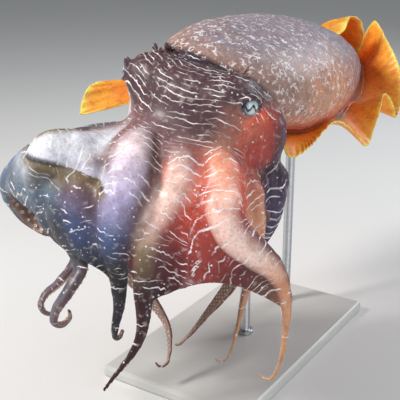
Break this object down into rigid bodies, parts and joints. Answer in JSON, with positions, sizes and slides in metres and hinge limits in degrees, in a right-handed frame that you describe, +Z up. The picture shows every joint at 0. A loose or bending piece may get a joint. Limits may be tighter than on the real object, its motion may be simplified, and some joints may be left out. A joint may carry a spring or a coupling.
{
  "type": "giant australian cuttlefish",
  "caption": "Life-size still model of a cuttlefish with its arms spread downwards like an umbrella and its fins waved, held over a flat base by two short rods.",
  "frame": {"origin": "centre of the underside of the stand's base, on the surface the stand rests on", "axes": "+Z up, out of the base; -Y the way the animal faces, with its tail towards +Y; +X its left side"},
  "size_m": [0.2808, 0.4996, 0.3381],
  "materials": {
    "mantle_skin": "wet, mottled tan to violet-grey skin with white flecks, cast in soft plastic",
    "head_skin": "wet dark brown-violet skin crossed by short wavy white lines, orange-red cheeks",
    "arm_skin": "wet pink-orange to pale lavender skin with wavy white lines, pale suckers beneath",
    "fin_skin": "thin orange to yellow-orange skin, redder at the root",
    "eye": "glossy pale blue with a dark wavy pupil",
    "beak_horn": "dark smooth horn",
    "stand_base": "satin light grey paint",
    "stand_steel": "brushed steel"
  },
  "bodies": {
    "root": {"arm_L1_base": "arm_skin", "arm_L1_mid": "arm_skin", "arm_L1_tip": "arm_skin", "arm_L2_base": "arm_skin", "arm_L2_mid": "arm_skin", "arm_L2_tip": "arm_skin", "arm_L3_base": "arm_skin", "arm_L3_mid": "arm_skin", "arm_L3_tip": "arm_skin", "arm_L4_base": "arm_skin", "arm_L4_mid": "arm_skin", "arm_L4_tip": "arm_skin", "arm_R1_base": "arm_skin", "arm_R1_mid": "arm_skin", "arm_R1_tip": "arm_skin", "arm_R2_base": "arm_skin", "arm_R2_mid": "arm_skin", "arm_R2_tip": "arm_skin", "arm_R3_base": "arm_skin", "arm_R3_mid": "arm_skin", "arm_R3_tip": "arm_skin", "arm_R4_base": "arm_skin", "arm_R4_mid": "arm_skin", "arm_R4_tip": "arm_skin", "beak_lower": "beak_horn", "beak_upper": "beak_horn", "buccal_mass": "arm_skin", "eye_left": "eye", "eye_right": "eye", "fin_left": "fin_skin", "fin_right": "fin_skin", "funnel": "mantle_skin", "head": "head_skin", "mantle": "mantle_skin", "stand_base": "stand_base", "stand_rod_front": "stand_steel", "stand_rod_rear": "stand_steel", "web_L1_L2": "arm_skin", "web_L2_L3": "arm_skin", "web_L3_L4": "arm_skin", "web_R1_L1": "arm_skin", "web_R2_R1": "arm_skin", "web_R3_R2": "arm_skin", "web_R4_R3": "arm_skin"}
  },
  "joints": []
}
